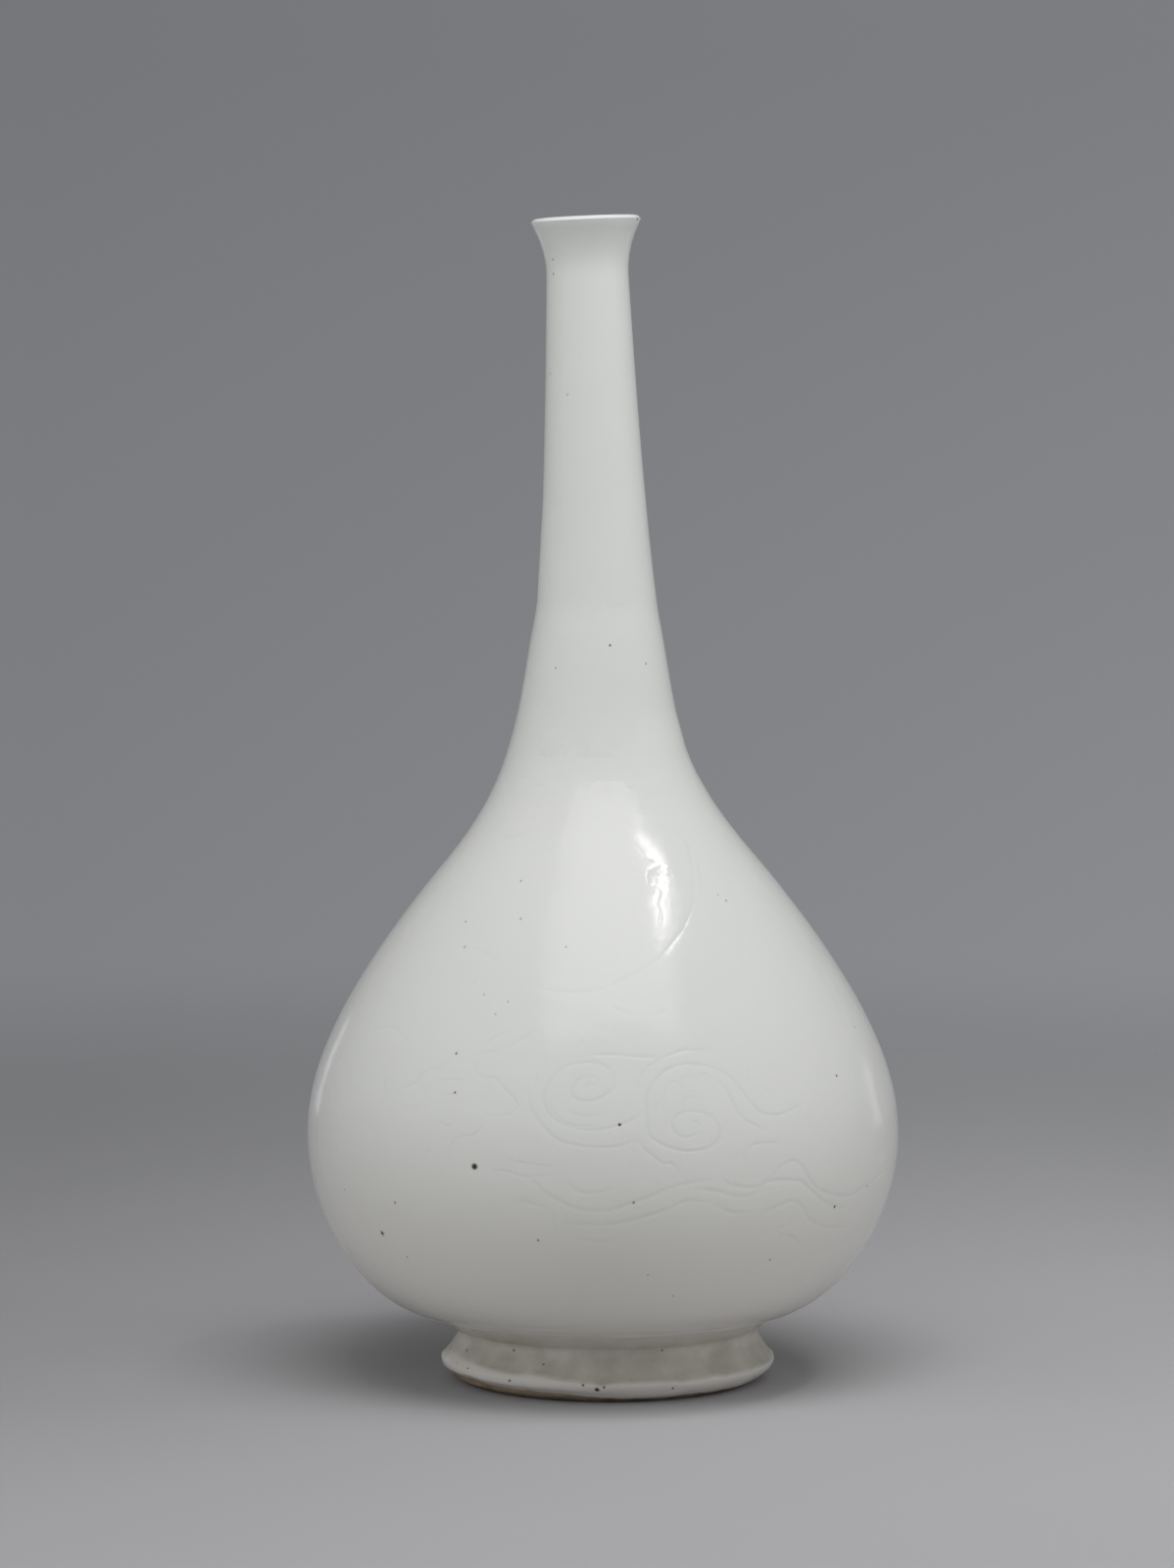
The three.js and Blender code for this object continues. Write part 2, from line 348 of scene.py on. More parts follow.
LEFT_SCROLL = [
    [(-1, 105.5), (-3.5, 107), (-8, 106.5), (-11, 102.5), (-9.5, 99.5), (-5, 98.5), (0, 100),
     (3.5, 103.5), (4, 107), (2, 110), (-2, 112), (-8, 112), (-14, 110.5), (-18.5, 106), (-21, 101),
     (-20, 95.5), (-16.5, 91.5), (-11, 89), (-3.5, 88), (5, 89.5), (11, 92), (14.5, 95.5)],
    [(-6.5, 103), (-5.5, 104.5), (-3, 104)],
    [(-26, 102), (-26, 97.5), (-23.5, 92.5), (-19.5, 87.5), (-15, 84), (-11, 83), (-5, 82), (4, 82),
     (11.5, 84)],
    [(-19, 99), (-17.5, 94.5), (-14, 91), (-9.5, 89.5), (-3, 89.5)],
    [(-12, 94.5), (-6, 93), (-1, 94)],
    [(-23.5, 108), (-24, 104.5)],
]
RIGHT_SCROLL = [
    [(12, 103.5), (12.5, 106.5), (15, 110), (18, 112), (22, 114), (28.5, 116.5), (39.5, 116.5)],
    [(-5.5, 115), (5.5, 115), (9, 114.5), (18.5, 114)],
    [(35, 87.5), (30, 85.5), (26.5, 86.5), (24.5, 89.5), (25.5, 92.5), (29, 94.5), (34, 94.5), (39, 92.5),
     (41.5, 87.5), (39.5, 83), (35, 81), (29.5, 80.5), (24.5, 81.5), (20, 83.5), (16.5, 86.5), (15.5, 94),
     (15.5, 100.5), (17, 104), (20, 107.5), (23.5, 110), (28, 111.5), (33.5, 111.5), (39, 110.5),
     (44, 108), (48, 104), (52, 98.5), (56, 94.5), (60, 93.5), (64, 94), (71.5, 97.5)],
    [(39, 106.5), (41.5, 105), (44.5, 101.5), (48, 94.5), (52.5, 90.5), (59, 88)],
    [(31, 90.5), (33, 91), (34, 90)],
    [(28, 97), (29.5, 99.5), (33, 100)],
    [(13.5, 84), (14.5, 81.5), (18, 78.5), (21.5, 76), (24.5, 76), (26.5, 73.5)],
    [(49.5, 78.5), (52, 81.5), (54.5, 83), (62, 83.5)],
]
RIGHT_LEAVES = [
    [(76.5, 112), (76.5, 108), (78, 105)],
    [(95, 68.5), (98, 71.5), (101, 73.5)],
    [(97.5, 73), (100, 75.5), (103, 77)],
]
SCALLOPED_EDGE = [
    [(18.5, 94.5), (18.5, 98), (20.5, 97.5)],
    [(20, 97.5), (22, 101), (21.5, 104)],
    [(21.5, 103.5), (25, 105.5), (27.5, 104)],
    [(27, 104), (28.5, 107), (33.5, 107)],
    [(33, 107), (36, 108), (39, 106.5)],
]
MIDDLE_WAVES = [
    [(-22, 67), (-17, 63.5), (-10, 60), (-4, 59), (1.5, 59), (5.5, 60), (10.5, 62), (16.5, 64),
     (21.5, 66.5), (26, 68), (32.5, 69.5), (38, 70.5)],
    [(-14, 54.5), (-4, 54), (0.5, 54), (8.5, 55), (15, 57), (23, 59.5), (29.5, 62.5), (38, 62)],
    [(-14.5, 50), (-6.5, 48.5), (0.5, 48), (5.5, 49.5)],
    [(-13, 69.5), (-8, 66), (-2, 65.5), (4, 67.5)],
]
RIGHT_WAVES = [
    [(42.5, 71), (44.5, 69), (48, 68), (52.5, 67.5), (56, 68.5), (60, 71.5), (62.5, 74.5), (67.5, 77),
     (70.5, 75.5), (73.5, 70.5), (76.5, 67), (81.5, 65), (87, 64.5), (92, 67), (96, 71)],
    [(32.5, 67), (37.5, 66.5), (41.5, 66), (46, 64.5), (52, 64.5), (57.5, 69), (62, 70), (67, 70),
     (70.5, 69.5), (73.5, 67), (78, 63), (82.5, 60.5), (87, 60)],
    [(40.5, 61), (45.5, 58.5), (52, 58.5)],
    [(56, 56), (57, 58), (62, 60.5), (67.5, 62.5), (70.5, 61), (73, 56.5), (78, 53.5), (88, 53)],
    [(62, 52.5), (64.5, 53.5), (67, 54)],
    [(62.5, 50), (67, 50), (70, 46.5)],
]
LEFT_CLOUD = [
    [(-45.5, 111), (-44.5, 108), (-41.5, 107), (-38, 106.5), (-35, 103), (-32.5, 100.5), (-30.5, 98),
     (-31, 95.5), (-33.5, 93.5), (-38.5, 93)],
    [(-45.5, 111), (-44.5, 113), (-43, 115.5), (-38, 116.5), (-33, 118.5), (-28, 121), (-23.5, 124)],
    [(-44.5, 118), (-40.5, 120), (-36.5, 122), (-32, 124.5)],
    [(-42, 90.5), (-45.5, 86.5), (-51, 85.5), (-53, 84), (-55, 80), (-54.5, 77.5)],
    [(-63.5, 79), (-61.5, 80.5), (-61.5, 81.5)],
    [(-52, 117), (-53.5, 114.5), (-57, 110.5), (-62.5, 109), (-65, 106.5), (-67, 104.5), (-72, 103),
     (-73, 101)],
    [(-62, 102), (-59.5, 105.5), (-55, 106), (-49.5, 106)],
    [(-56, 100.5), (-52, 101)],
    [(-58.5, 91), (-55, 89.5), (-51, 92)],
    [(-81, 124.5), (-74, 124.5), (-71, 121.5), (-69, 119.5), (-68.5, 112.5)],
    [(-78.5, 110.5), (-77.5, 106), (-77.5, 99.5), (-80, 97)],
    [(-85, 100.5), (-81.5, 101)],
]
LEFT_WAVES = [
    [(-34.5, 77.5), (-29.5, 76.5), (-23.5, 75.5), (-18, 75)],
    [(-39.5, 73.5), (-33, 73), (-28, 71.5), (-17.5, 72)],
    [(-26.5, 71.5), (-22.5, 68), (-21.5, 66)],
    [(-31.5, 62.5), (-27.5, 62.5), (-25, 61.5), (-19.5, 60)],
    [(-18, 57.5), (-17.5, 52.5), (-16, 49.5)],
]
MEDALLION = [
    [(25.5, 194.5), (29.5, 190.5), (31, 184.5), (32, 175), (31, 167), (28.5, 160.5), (24.5, 155),
     (20.5, 150), (13, 145), (7, 142), (0, 139), (-8.5, 137.5), (-18.5, 138), (-22.5, 139)],
    [(33, 187), (34.2, 180), (35, 172)],
    [(3, 211), (8, 210.5), (13, 208.5)],
    [(-26, 211), (-20.5, 210.5)],
    [(-21, 219.5), (-18.5, 222), (-12.5, 225.5)],
    [(-7, 224.5), (-1, 222)],
    [(-37, 193.5), (-32.5, 192.5), (-27.5, 193.5)],
    [(-49, 153), (-44, 152.5), (-40, 150.5), (-37, 147.5)],
    [(-47, 140), (-44, 142.5)],
    [(3, 132), (10, 129.5)],
    [(17, 129), (23.5, 131)],
]
MEDALLION_SCALLOPS = [
    [(11.5, 190), (15, 186), (20, 183)],
    [(20, 183), (16, 180), (16, 176)],
    [(16, 177), (20, 173), (18.5, 169)],
    [(18.5, 170), (20.5, 164), (19, 158.5)],
]
RIGHT_FLOWER = [
    [(56, 115), (53.5, 113.3), (52, 111), (51.5, 106.5), (53.5, 102)],
    [(56.7, 105.5), (57.2, 103), (59.5, 101.7), (61.8, 103), (62.6, 105)],
    [(57.5, 110.5), (60, 111.5), (62.5, 110.5)],
    [(66.5, 112), (67.7, 109), (67.5, 106)],
]

# How strongly each group is cut, and how the ornament goes round: the turn of each copy in degrees
# and the groups that it holds
FRONT = [
    (LEFT_SCROLL, 0.7), (RIGHT_SCROLL, 0.85), (RIGHT_LEAVES, 0.5), (SCALLOPED_EDGE, 0.7),
    (RIGHT_FLOWER, 0.4), (MIDDLE_WAVES, 0.7), (RIGHT_WAVES, 0.8), (LEFT_WAVES, 0.55),
    (LEFT_CLOUD, 0.55), (MEDALLION, 0.6), (MEDALLION_SCALLOPS, 0.45),
]
SIDE = [(LEFT_SCROLL, 0.7), (MIDDLE_WAVES, 0.7)]
PANELS = [(0, FRONT), (180, FRONT), (100, SIDE)]

# Profile of a line: a narrow groove in a wide soft bevel, weaker at the ends and as the hand wavers
LINE_SPACING = 0.35
LINE_DEPTH = 0.19
LINE_HALF_WIDTH = 0.85
BEVEL_DEPTH = 0.05
BEVEL_HALF_WIDTH = 2.8
LINE_END_FADE = 5
LINE_END_STRENGTH = 0.35
HAND_WAVER = 0.75
WAVER_LENGTH = 9

# Iron specks: the place as seen from the front, the radius and how dark it is
BELLY_SPECKS = [
    ((-45.5, 75), 1.15, 1), ((-78.5, 51), 1.0, 0.7), ((6, 90), 0.6, 0.9), ((11, 62), 0.45, 0.8),
    ((-74, 62), 0.5, 0.7), ((-23, 48.5), 0.45, 0.7), ((83, 107.5), 0.5, 0.8), ((43.5, 170), 0.45, 0.6),
    ((-52, 115.5), 0.5, 0.7), ((-52.5, 101.5), 0.5, 0.7), ((-49, 153.5), 0.45, 0.6),
    ((-48.5, 162.5), 0.4, 0.6), ((-29, 177), 0.4, 0.6), ((-29, 163.5), 0.4, 0.6),
    ((-13, 153.5), 0.4, 0.5), ((89.5, 125), 0.4, 0.6),
    ((82.5, 60.5), 0.6, 0.8), ((59.5, 41.5), 0.45, 0.6), ((-69.5, 42.5), 0.4, 0.6), ((25, 28.5), 0.4, 0.5),
    ((16, 36), 0.35, 0.5), ((-38, 129.5), 0.35, 0.5), ((-33.5, 134), 0.35, 0.5), ((-42, 136.5), 0.35, 0.5),
    ((94, 68), 0.45, 0.6),
]
NECK_SPECKS = [
    ((-17.5, 396.5), 0.4, 0.7), ((-17.5, 391.5), 0.4, 0.7), ((-18.5, 356.5), 0.35, 0.5),
    ((-12.5, 349), 0.35, 0.5), ((2.5, 260.5), 0.45, 0.8), ((5, 276), 0.35, 0.5), ((15, 254), 0.4, 0.6),
    ((-16.5, 252.5), 0.4, 0.5), ((-25.5, 242.5), 0.35, 0.5), ((12, 409.5), 0.6, 0.9),
]
FOOT_SPECKS = [
    ((-48.5, 9), 0.6, 0.8), ((-31.5, 9), 0.5, 0.8), ((21, 9), 0.5, 0.8), ((-21, 4), 0.45, 0.8),
    ((-2, -5.5), 0.9, 1), ((-7, -4), 0.5, 0.9), ((0.5, -4.5), 0.5, 0.9), ((25, -4.5), 0.5, 0.8),
    ((-48.5, 1), 0.5, 0.7), ((-33, -3), 0.6, 0.8), ((54, -0.5), 0.5, 0.8),
]
SPECKS = BELLY_SPECKS + NECK_SPECKS + FOOT_SPECKS

# Each speck sits in a small pit, and its stain reaches past it
SPECK_REACH = 1.4
PIT_DEPTH = 0.1
STAIN_STRENGTH = 1.6

# A line of sight is followed over its last stretch, as shares of its length
SIGHT_START = 0.94
SIGHT_SPAN = 0.06
SIGHT_STEPS = 240


def seen_on_glaze(across, height):
    """Where the line of sight through a point of the front view meets the glaze, while the bottle
    is still upright: angle about the centreline and height"""
    sight = Vector((across, 0, height)) - CAMERA_PLACE
    best = None
    for step in range(SIGHT_STEPS + 1):
        point = CAMERA_PLACE + sight * (SIGHT_START + SIGHT_SPAN * step / SIGHT_STEPS)
        level = min(point.z, LIP_LEVEL)
        offset = Vector((point.x - centre(level), point.y))
        gap = offset.length - radius_at(GLAZE_FACE, level)
        if best is None or gap < best[0]:
            best = (gap, math.atan2(offset.y, offset.x), level)
        if gap < 0:
            break
    return best[1], best[2]


def on_upright(angle, height):
    """A place on the glaze while the bottle is still upright"""
    radius = radius_at(GLAZE_FACE, height)
    return Vector((radius * math.cos(angle), radius * math.sin(angle), height))


def smooth_line(points):
    """A smooth run of places along the drawn points"""
    knots = [Vector(point) for point in points]
    knots = [knots[0] * 2 - knots[1]] + knots + [knots[-1] * 2 - knots[-2]]
    line = []
    for before, start, end, after in zip(knots, knots[1:], knots[2:], knots[3:]):
        steps = max(2, round((end - start).length / LINE_SPACING))
        for step in range(steps):
            share = step / steps
            line.append(0.5 * (
                start * 2 + (end - before) * share
                + (before * 2 - start * 5 + end * 4 - after) * share ** 2
                + (start * 3 - before - end * 3 + after) * share ** 3
            ))
    line.append(knots[-2])
    return line


def patchy(place):
    """Noise from nought to one"""
    return 0.5 + 0.5 * noise.noise(place)


def incised_places():
    """Every place along the incised lines, with how strongly it is cut there. A line fades over at
    most a third of its length at each end."""
    seen = {}
    places = []
    for turn, groups in PANELS:
        for lines, strength in groups:
            for line in lines:
                key = tuple(line)
                if key not in seen:
                    seen[key] = [seen_on_glaze(*point) for point in smooth_line(line)]
                fade = min(LINE_END_FADE, len(seen[key]) * LINE_SPACING / 3)
                for number, (angle, height) in enumerate(seen[key]):
                    from_end = min(number, len(seen[key]) - 1 - number) * LINE_SPACING
                    kept = LINE_END_STRENGTH + (1 - LINE_END_STRENGTH) * min(1, from_end / fade)
                    along = Vector((number * LINE_SPACING, height, turn)) / WAVER_LENGTH
                    kept *= 1 - HAND_WAVER * patchy(along)
                    place = on_upright(angle + math.radians(turn), height)
                    places.append((place, strength * kept))
    return places


def search_tree(places):
    """Finds the nearest of the places"""
    tree = kdtree.KDTree(len(places))
    for number, (place, *_) in enumerate(places):
        tree.insert(place, number)
    tree.balance()
    return tree


# How near the outline of the glaze a place on its outer face lies
FACE_REACH = 0.35


def on_outer_face(place):
    radius = math.hypot(place.x, place.y)
    return abs(radius - radius_at(GLAZE_FACE, place.z)) < FACE_REACH


# How far round the lines and round the specks the mesh is refined, and the longest edge left there
REFINEMENTS = [(2.8, 3, 2.4), (1.25, 1.8, 1.25), (0.68, 1.1, 0.65), (0, 0.7, 0.35)]


def refine_near(piece, reaches, largest):
    """Halves the faces of the outer face that lie near the places of any of the trees"""
    bpy.context.view_layer.objects.active = piece
    bpy.ops.object.mode_set(mode="EDIT")
    bpy.ops.mesh.select_all(action="DESELECT")
    bpy.ops.mesh.select_mode(type="FACE")
    shape = bmesh.from_edit_mesh(piece.data)
    for face in shape.faces:
        middle = face.calc_center_median() / MM
        if not on_outer_face(middle):
            continue
        size = max(edge.calc_length() for edge in face.edges) / MM
        if size > largest:
            face.select = any(tree.find(middle)[2] < reach + size / 2 for tree, reach in reaches)
    bmesh.update_edit_mesh(piece.data)
    bpy.ops.mesh.subdivide(number_cuts=1)
    bpy.ops.mesh.select_mode(type="VERT")
    bpy.ops.object.mode_set(mode="OBJECT")
    for vertex in piece.data.vertices:
        place = vertex.co / MM
        if RIDGE_LEVEL < place.z < THROAT_LEVEL and on_outer_face(place):
            scale = radius_at(GLAZE_FACE, place.z) / math.hypot(place.x, place.y)
            vertex.co = Vector((place.x * scale, place.y * scale, place.z)) * MM


def groove(distance, half_width):
    """One in the middle of a rounded groove and nought at its edge"""
    if distance >= half_width:
        return 0
    return (1 - (distance / half_width) ** 2) ** 2


def outward(angle, height):
    """The direction square to the upright glaze, from its slope over one millimetre"""
    rise = radius_at(GLAZE_FACE, height + 0.5) - radius_at(GLAZE_FACE, height - 0.5)
    return Vector((math.cos(angle), math.sin(angle), -rise)).normalized()


# The glaze gathers in a thin bead along the ridge over the foot. It is lumpy: its rise swings about
# a share of the full one. It gets rows of faces of its own.

BEAD_RISE = 0.4
BEAD_HALF_WIDTH = 0.9
BEAD_LENGTH = 25
BEAD_SHARE = 0.6
BEAD_SWING = 0.8
BEAD_ROWS = [RIDGE_LEVEL + step for step in (-0.13, -0.09, -0.05, 0.05, 0.1, 0.16, 0.23, 0.32)]


def bead(place):
    distance = math.hypot(math.hypot(place.x, place.y) - RIDGE[0], place.z - RIDGE_LEVEL)
    rise = BEAD_RISE * groove(distance, BEAD_HALF_WIDTH)
    return rise * (BEAD_SHARE + BEAD_SWING * noise.noise(place / BEAD_LENGTH))


# Gentle unevenness of the glaze, which is deepest where the coat ran

RIPPLE_DEPTH = 0.1
RIPPLE_LENGTH = 34
FACET_LENGTH = 11
FACET_DEPTH = 0.03


def ripple(place):
    return RIPPLE_DEPTH * patchy(place / RIPPLE_LENGTH) + FACET_DEPTH * patchy(place / FACET_LENGTH)


def carve(piece, lines, line_tree, speck_places, speck_tree):
    """Cuts the lines and the pits of the specks into the outer face, and keeps where they are for
    the finish"""
    incision = piece.data.attributes.new("incision", "FLOAT", "POINT")
    iron = piece.data.attributes.new("iron", "FLOAT", "POINT")
    for number, vertex in enumerate(piece.data.vertices):
        place = vertex.co / MM
        if not on_outer_face(place) or place.z > LIP_LEVEL:
            continue
        angle = math.atan2(place.y, place.x)
        _, nearest, distance = line_tree.find(place)
        strength = lines[nearest][1]
        cut = strength * groove(distance, LINE_HALF_WIDTH)
        sloped = strength * groove(distance, BEVEL_HALF_WIDTH)
        _, speck, away = speck_tree.find(place)
        _, radius, dark = speck_places[speck]
        spot = dark * groove(away, radius * SPECK_REACH)
        depth = LINE_DEPTH * cut + BEVEL_DEPTH * sloped + PIT_DEPTH * spot
        if place.z > FOOT_WIDEST_HEIGHT:
            depth += ripple(place) - bead(place)
        vertex.co = (place - outward(angle, place.z) * depth) * MM
        incision.data[number].value = cut
        iron.data[number].value = min(1, spot * STAIN_STRENGTH)


# Glaze on the foot. Its lower edge is uneven and leaves more clay bare at the left in front. Above
# it lies a thick roll with a lumpy upper edge, and above that the coat is thin.

EDGE_WAVE = 0.7
BARE_RISE = 2.2
BARE_MIDDLE = math.radians(-147)
BARE_SPREAD = math.radians(63)
ROLL_TOP = 13
ROLL_TOP_FADE = 2.5
ROLL_EDGE = 7.6
ROLL_EDGE_FADE = 0.9
ROLL_WAVE = 1.6
ROLL_TURN = 1
ROLL_RISE = 2.6
THIN_COAT = 0.45
THIN_END = FOOT_HEIGHT + 2

# Waves round the foot: how close together, how strong, and where they start in the noise
FOOT_WAVES = [(2.2, 1, (0, 0, 0)), (6, 0.7, (3, 1, 0)), (15, 0.4, (1, 4, 0))]


def foot_wave(angle):
    around = Vector((math.cos(angle), math.sin(angle), 0))
    return sum(strength * noise.noise(around * close + Vector(start))
               for close, strength, start in FOOT_WAVES)


def bare_side(angle):
    """One at the left in front, where the glaze stops higher, and nought all round the rest"""
    away = abs(math.remainder(angle - BARE_MIDDLE, math.tau))
    return 1 - smooth_share(away, 0, BARE_SPREAD)


def run_down(piece):
    """Lets the glaze run to its uneven lower edge, and keeps where the coat is thin for the finish"""
    thin = piece.data.attributes.new("thin", "FLOAT", "POINT")
    for number, vertex in enumerate(piece.data.vertices):
        place = vertex.co / MM
        angle = math.atan2(place.y, place.x)
        edge = ROLL_EDGE + ROLL_WAVE * foot_wave(angle + ROLL_TURN) + ROLL_RISE * bare_side(angle)
        past_roll = smooth_share(place.z, edge - ROLL_EDGE_FADE, edge + ROLL_EDGE_FADE)
        thin.data[number].value = past_roll * (1 - smooth_share(place.z, THIN_END, RIDGE_LEVEL))
        if place.z > ROLL_TOP:
            continue
        radius = math.hypot(place.x, place.y)
        coat = radius - radius_at(CLAY_FACE, place.z)
        fade = 1 - smooth_share(place.z, BARE_FOOT, ROLL_TOP)
        level = place.z + (EDGE_WAVE * foot_wave(angle) + BARE_RISE * bare_side(angle)) * fade
        top_fade = smooth_share(place.z, ROLL_TOP - ROLL_TOP_FADE, ROLL_TOP)
        kept = 1 - THIN_COAT * past_roll * (1 - top_fade)
        scale = (radius_at(CLAY_FACE, level) + coat * kept) / radius
        vertex.co = Vector((place.x * scale, place.y * scale, level)) * MM


# Pieces of the bottle

# Rows of faces on the hidden side of the outer glaze
HIDDEN_ROWS = [2.8, 5, 8, 13, 16, 18, RIDGE_LEVEL, 40, 60, GIRTH_LEVEL, 110, 140, SHOULDER_LEVEL, 200,
               220, 245, ROOT_LEVEL, 330, THROAT_LEVEL, 400, LIP_LEVEL]
BASE_GLAZE_EDGE = 0.6


def make_outer_glaze():
    outer = sorted(outline_heights(ALL_STRETCHES, BARE_FOOT, LIP_LEVEL) + BEAD_ROWS)
    loop = rows_up(GLAZE_FACE, outer)
    loop += over_lip(LIP_GLAZE)
    loop += [(LIP_INNER_RADIUS - LIP_GLAZE, LIP_LEVEL), (LIP_INNER_RADIUS, LIP_LEVEL)]
    loop += over_lip(0)[::-1]
    loop += rows_up(CLAY_FACE, HIDDEN_ROWS[::-1])
    piece = turned("outer_glaze_coat", loop)
    lines = incised_places()
    line_tree = search_tree(lines)
    specks = [(on_upright(*seen_on_glaze(*place)), radius, dark) for place, radius, dark in SPECKS]
    speck_tree = search_tree(specks)
    for line_reach, speck_reach, largest in REFINEMENTS:
        reaches = [(line_tree, line_reach), (speck_tree, speck_reach)]
        refine_near(piece, [(tree, reach) for tree, reach in reaches if reach], largest)
    carve(piece, lines, line_tree, specks, speck_tree)
    run_down(piece)
    settle(piece)
    return piece


def make_inner_glaze():
    start = INNER_CLAY_FACE[0]
    rows = outline_heights(HOLLOW_STRETCHES, start.y, LIP_LEVEL)
    glaze_start = INNER_GLAZE_FACE[0]
    flat = start.x * FLOOR_FLAT_SHARE
    loop = [(0, FLOOR_LEVEL), (flat, FLOOR_LEVEL)]
    loop += rows_up(INNER_CLAY_FACE, rows)
    loop += rows_up(INNER_GLAZE_FACE, [height for height in rows[::-1] if height > glaze_start.y])
    glazed_floor = FLOOR_LEVEL + INNER_GLAZE
    loop += [(glaze_start.x, glaze_start.y), (flat, glazed_floor), (0, glazed_floor)]
    piece = turned("inner_glaze_coat", loop, HIDDEN_TURN_STEPS)
    settle(piece)
    return piece


def make_foot_ring():
    rows = outline_heights(FOOT_STRETCHES, 0, FOOT_RING_TOP)
    loop = [(HOLLOW_BOTTOM, REST_ROUNDING), (HOLLOW_BOTTOM + REST_ROUNDING, 0)]
    loop += rows_up(CLAY_FACE, rows)
    loop += [(HOLLOW_TOP, FOOT_RING_TOP)]
    piece = turned("bare_foot_ring", loop)
    settle(piece)
    return piece


def make_base_glaze():
    slope = (HOLLOW_TOP - HOLLOW_BOTTOM) / FOOT_RING_TOP
    bare = HOLLOW_BOTTOM + slope * BARE_HOLLOW_HEIGHT
    loop = floor_bottom(BASE_GLAZE)
    loop += [(HOLLOW_TOP - BASE_GLAZE, FOOT_RING_TOP),
             (bare - BASE_GLAZE, BARE_HOLLOW_HEIGHT + BASE_GLAZE_EDGE),
             (bare, BARE_HOLLOW_HEIGHT), (HOLLOW_TOP, FOOT_RING_TOP)]
    loop += floor_bottom(0)[::-1]
    piece = turned("foot_hollow_coat", loop, HIDDEN_TURN_STEPS)
    settle(piece)
    return piece


# Finishes

def start_finish(name):
    material = bpy.data.materials.new(name)
    material.use_nodes = True
    tree = material.node_tree
    place = tree.nodes.new("ShaderNodeTexCoord").outputs["Object"]
    return material, tree, tree.nodes["Principled BSDF"], place


def cloudy(tree, place, size, detail):
    """Noise with patches of about a size in millimetres"""
    node = tree.nodes.new("ShaderNodeTexNoise")
    node.inputs["Scale"].default_value = 1 / (size * MM)
    node.inputs["Detail"].default_value = detail
    tree.links.new(place, node.inputs["Vector"])
    return node.outputs["Fac"]


def spread(tree, value, low, high, to_low=0, to_high=1, kind="LINEAR"):
    """A value stretched so that low and high become to_low and to_high"""
    node = tree.nodes.new("ShaderNodeMapRange")
    node.interpolation_type = kind
    tree.links.new(value, node.inputs["Value"])
    ends = {"From Min": low, "From Max": high, "To Min": to_low, "To Max": to_high}
    for socket, number in ends.items():
        node.inputs[socket].default_value = number
    return node.outputs["Result"]


def patches(tree, place, size, detail, *ends):
    """Cloudy patches with their two ends spread as given"""
    return spread(tree, cloudy(tree, place, size, detail), *ends)


def calculated(tree, operation, first, second):
    """One step of arithmetic on numbers or values of the pattern"""
    node = tree.nodes.new("ShaderNodeMath")
    node.operation = operation
    for socket, value in zip(node.inputs, (first, second)):
        if isinstance(value, (int, float)):
            socket.default_value = value
        else:
            tree.links.new(value, socket)
    return node.outputs["Value"]


# Sockets of the node that mixes colours: share, two colours, and the result
MIX_SHARE = 0
MIX_BASE = 6
MIX_TINT = 7
MIXED = 2


def tinted(tree, share, base, tint):
    """The base colour going over to the tint by a share"""
    node = tree.nodes.new("ShaderNodeMix")
    node.data_type = "RGBA"
    tree.links.new(share, node.inputs[MIX_SHARE])
    for socket, value in ((node.inputs[MIX_BASE], base), (node.inputs[MIX_TINT], tint)):
        if isinstance(value, tuple):
            socket.default_value = (*value, 1)
        else:
            tree.links.new(value, socket)
    return node.outputs[MIXED]


def attribute(tree, name):
    """A value that was kept on the mesh while it was shaped"""
    node = tree.nodes.new("ShaderNodeAttribute")
    node.attribute_name = name
    return node.outputs["Fac"]


def raised(tree, shader, place, bumps):
    """Bumps on bumps, each with the size of its patches, how detailed they are and its depth"""
    normal = None
    for size, detail, depth in bumps:
        node = tree.nodes.new("ShaderNodeBump")
        node.inputs["Distance"].default_value = depth * MM
        tree.links.new(cloudy(tree, place, size, detail), node.inputs["Height"])
        if normal is not None:
            tree.links.new(normal, node.inputs["Normal"])
        normal = node.outputs["Normal"]
    tree.links.new(normal, shader.inputs["Normal"])


def pinholes(tree, place, spacing, size, share):
    """Sparse dark points: a share of the cells of a pattern holds one each"""
    node = tree.nodes.new("ShaderNodeTexVoronoi")
    node.inputs["Scale"].default_value = 1 / (spacing * MM)
    tree.links.new(place, node.inputs["Vector"])
    edge = size / spacing
    near = spread(tree, node.outputs["Distance"], edge, edge / 2)
    parts = tree.nodes.new("ShaderNodeSeparateColor")
    tree.links.new(node.outputs["Color"], parts.inputs["Color"])
    chosen = calculated(tree, "LESS_THAN", parts.outputs["Red"], share)
    return calculated(tree, "MULTIPLY", near, chosen)


def along_axis(tree, place, axis):
    node = tree.nodes.new("ShaderNodeSeparateXYZ")
    tree.links.new(place, node.inputs["Vector"])
    return node.outputs[axis]


# Colours of the glaze, the iron in it, the bare clay and the slip
GLAZE_WHITE = (0.80, 0.805, 0.775)
GLAZE_COOL = (0.765, 0.785, 0.755)
# Painted shade: the glaze is painted darker from the neck down to the belly
GLAZE_BELLY_PAINTED_SHADE = (0.72, 0.73, 0.705)
# A warm tone of the lower glaze, with painted shade on the lower belly and the foot
GLAZE_WARM_AND_PAINTED_SHADE = (0.665, 0.635, 0.59)
# The thin coat's own darker tone, with painted shade under the belly's overhang
GLAZE_THIN_AND_PAINTED_SHADE = (0.40, 0.378, 0.32)
